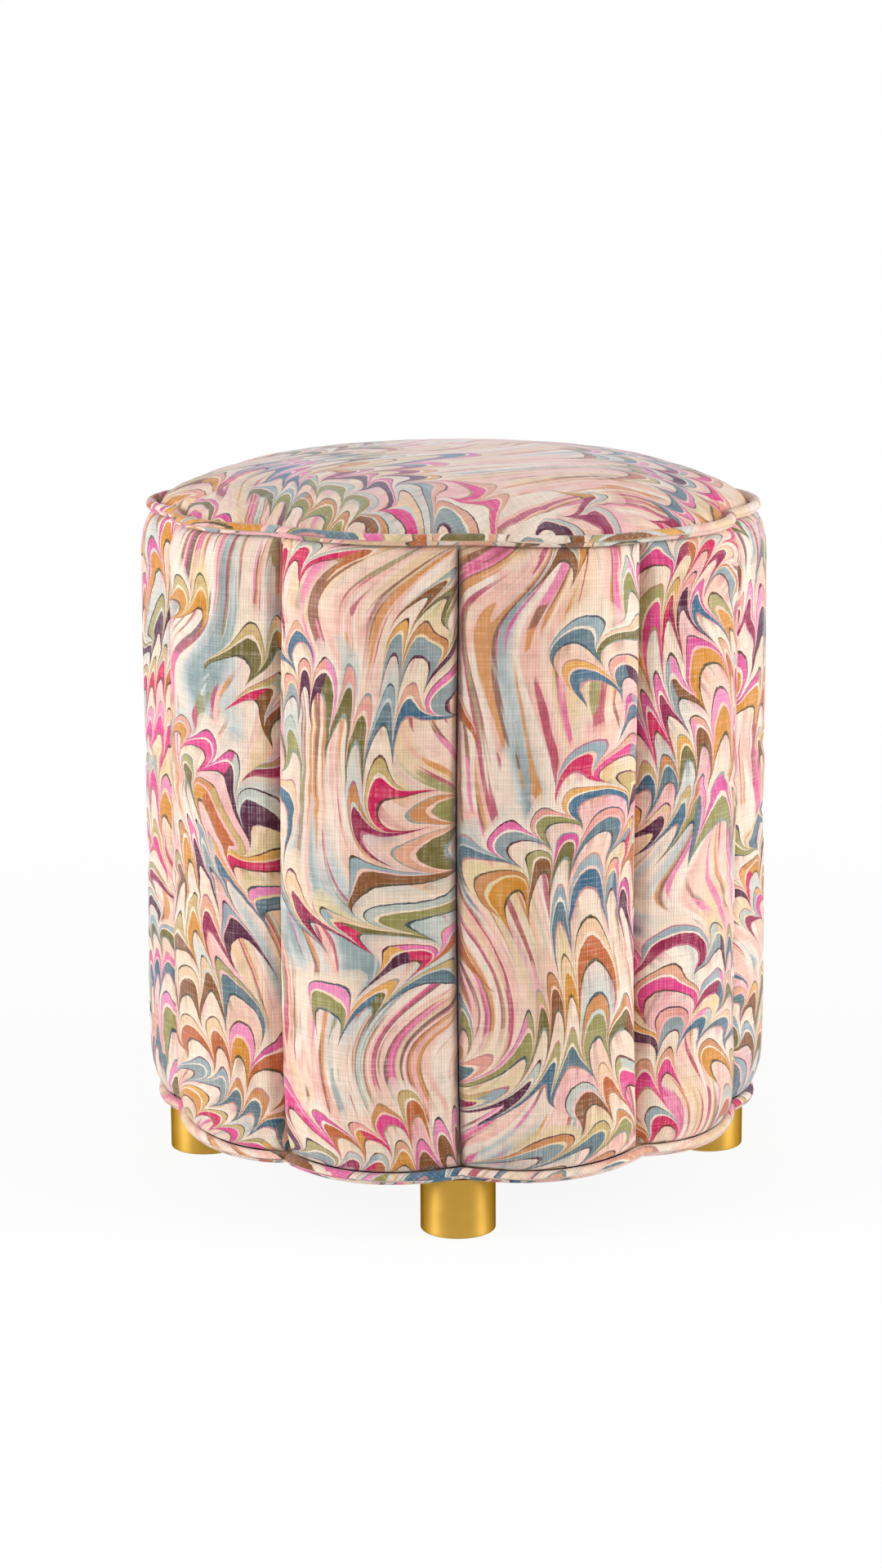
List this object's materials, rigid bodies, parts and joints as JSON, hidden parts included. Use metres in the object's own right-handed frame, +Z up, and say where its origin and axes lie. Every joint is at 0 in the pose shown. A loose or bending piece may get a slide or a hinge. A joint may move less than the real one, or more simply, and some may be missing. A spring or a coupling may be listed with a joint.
{
  "type": "upholstered ottoman",
  "caption": "Round ottoman with padded scalloped sides in vertical channels, a domed top edged with piping, a piped base and short cylindrical brass legs.",
  "frame": {"origin": "on the floor under the centre of the body, between the feet", "axes": "+Z up; -Y is the front, where a channel seam stands over the front leg; +X is the right-hand side seen from the front"},
  "size_m": [0.4, 0.3876, 0.4577],
  "materials": {
    "cover_fabric": "marbled print on a slubbed linen weave, matte",
    "piping_fabric": "the cover's cloth cut on the bias over a cord, matte",
    "piping_cord": "twisted cotton cord",
    "foam": "open-cell foam",
    "wadding": "polyester fibre",
    "dust_cloth": "black non-woven cloth",
    "plywood": "birch plywood, unfinished",
    "timber": "planed pine, unfinished",
    "hardboard": "smooth hardboard",
    "brass": "satin brushed brass",
    "zinc_steel": "zinc-plated steel",
    "glide_plastic": "dark nylon"
  },
  "bodies": {
    "root": {"side_panel_01": "cover_fabric", "side_panel_02": "cover_fabric", "side_panel_03": "cover_fabric", "side_panel_04": "cover_fabric", "side_panel_05": "cover_fabric", "side_panel_06": "cover_fabric", "side_panel_07": "cover_fabric", "side_panel_08": "cover_fabric", "side_panel_09": "cover_fabric", "side_panel_10": "cover_fabric", "top_panel": "cover_fabric", "top_piping": "piping_fabric", "base_piping": "piping_fabric", "top_piping_cord": "piping_cord", "base_piping_cord": "piping_cord", "flute_pad_01": "foam", "flute_pad_02": "foam", "flute_pad_03": "foam", "flute_pad_04": "foam", "flute_pad_05": "foam", "flute_pad_06": "foam", "flute_pad_07": "foam", "flute_pad_08": "foam", "flute_pad_09": "foam", "flute_pad_10": "foam", "seat_foam": "foam", "crown_wadding": "wadding", "dust_cover": "dust_cloth", "base_board": "plywood", "seat_board": "plywood", "upright_1": "timber", "upright_2": "timber", "upright_3": "timber", "upright_4": "timber", "drum_wrap": "hardboard", "leg_front": "brass", "leg_right": "brass", "leg_back": "brass", "leg_left": "brass", "frame_screws": "zinc_steel", "leg_studs": "zinc_steel", "leg_inserts": "zinc_steel", "foot_glides": "glide_plastic"}
  },
  "joints": []
}
